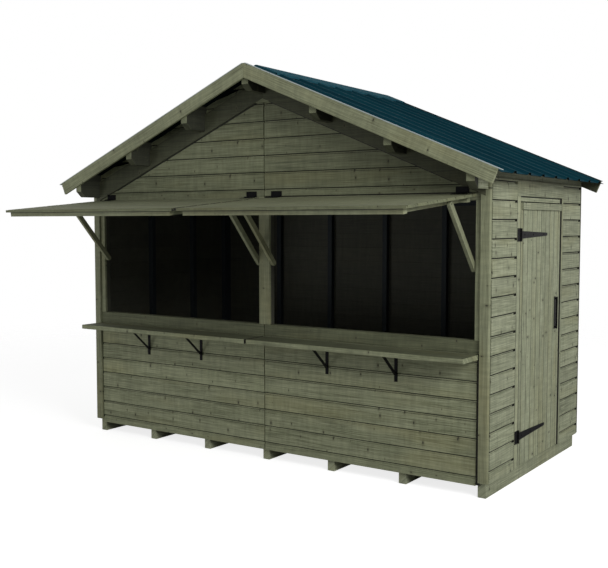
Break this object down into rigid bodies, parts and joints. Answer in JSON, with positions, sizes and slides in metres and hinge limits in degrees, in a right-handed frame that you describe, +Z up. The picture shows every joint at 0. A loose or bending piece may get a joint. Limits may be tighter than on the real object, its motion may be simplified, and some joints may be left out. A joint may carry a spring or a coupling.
{
  "type": "timber event chalet",
  "caption": "Timber market chalet with propped serving hatches over a counter, a ledged side door and a ribbed metal pitched roof.",
  "frame": {"origin": "ground level at the middle of the floor", "axes": "+X along the serving front to the door end, +Y from the serving front to the back, +Z up"},
  "size_m": [3.9248, 2.8333, 2.9363],
  "materials": {
    "side_board_paint": "satin",
    "front_board_paint": "satin",
    "trim_paint": "satin",
    "rough_timber": "rough",
    "black_iron": "satin",
    "roof_coating": "satin"
  },
  "bodies": {
    "chalet": {"bearers": "rough_timber", "floor_deck": "rough_timber", "front_boards": "front_board_paint", "front_frame": "rough_timber", "sill_rail": "trim_paint", "middle_post": "trim_paint", "front_jambs": "trim_paint", "front_gable_boards": "front_board_paint", "front_gable_frame": "rough_timber", "front_gable_trims": "trim_paint", "front_corner_trims": "trim_paint", "back_boards": "side_board_paint", "back_frame": "rough_timber", "back_gable_trims": "trim_paint", "back_corner_trims": "trim_paint", "left_boards": "side_board_paint", "left_frame": "rough_timber", "right_boards": "side_board_paint", "door_header": "side_board_paint", "right_frame": "rough_timber", "door_strips": "side_board_paint", "door_hinge_plates": "black_iron", "purlins": "rough_timber", "roof_sheet_left": "roof_coating", "roof_sheet_right": "roof_coating", "ridge_cap": "roof_coating", "front_barge_boards": "trim_paint", "back_barge_boards": "trim_paint", "counters": "front_board_paint", "counter_brackets": "black_iron", "hatch_hinge_plates": "black_iron"},
    "door": {"door_leaf": "side_board_paint", "door_ledges": "rough_timber", "door_straps": "black_iron", "door_handle": "black_iron"},
    "hatch_left": {"hatch_left_boards": "front_board_paint", "hatch_left_battens": "rough_timber", "hatch_left_iron": "black_iron"},
    "hatch_right": {"hatch_right_boards": "front_board_paint", "hatch_right_battens": "rough_timber", "hatch_right_iron": "black_iron"},
    "prop_left_outer": {"prop_left_outer": "trim_paint"},
    "prop_left_inner": {"prop_left_inner": "trim_paint"},
    "prop_right_inner": {"prop_right_inner": "trim_paint"},
    "prop_right_outer": {"prop_right_outer": "trim_paint"}
  },
  "joints": [
    {"name": "door_hinge", "type": "hinge", "parent": "chalet", "child": "door", "pos_m": [1.806, -0.389, 0], "axis": [0, 0, -1], "range_deg": [0, 160]},
    {"name": "hatch_left_hinge", "type": "hinge", "parent": "chalet", "child": "hatch_left", "pos_m": [-0.86, -0.912, 1.978], "axis": [1, 0, 0], "range_deg": [0, 84.6]},
    {"name": "hatch_right_hinge", "type": "hinge", "parent": "chalet", "child": "hatch_right", "pos_m": [0.86, -0.912, 1.978], "axis": [1, 0, 0], "range_deg": [0, 84.6]},
    {"name": "prop_left_outer_pivot", "type": "hinge", "parent": "hatch_left", "child": "prop_left_outer", "pos_m": [-1.6715, -1.22805, 1.89991], "axis": [-1, 0, 0], "range_deg": [0, 121.1]},
    {"name": "prop_left_inner_pivot", "type": "hinge", "parent": "hatch_left", "child": "prop_left_inner", "pos_m": [-0.067, -1.22805, 1.89991], "axis": [-1, 0, 0], "range_deg": [0, 121.1]},
    {"name": "prop_right_inner_pivot", "type": "hinge", "parent": "hatch_right", "child": "prop_right_inner", "pos_m": [0.067, -1.22805, 1.89991], "axis": [-1, 0, 0], "range_deg": [0, 121.1]},
    {"name": "prop_right_outer_pivot", "type": "hinge", "parent": "hatch_right", "child": "prop_right_outer", "pos_m": [1.6715, -1.22805, 1.89991], "axis": [-1, 0, 0], "range_deg": [0, 121.1]}
  ],
  "couplings": [
    {"joint": "prop_left_outer_pivot", "follows": "hatch_left_hinge", "ratio": 1.4314},
    {"joint": "prop_left_inner_pivot", "follows": "hatch_left_hinge", "ratio": 1.4314},
    {"joint": "prop_right_inner_pivot", "follows": "hatch_right_hinge", "ratio": 1.4314},
    {"joint": "prop_right_outer_pivot", "follows": "hatch_right_hinge", "ratio": 1.4314}
  ]
}
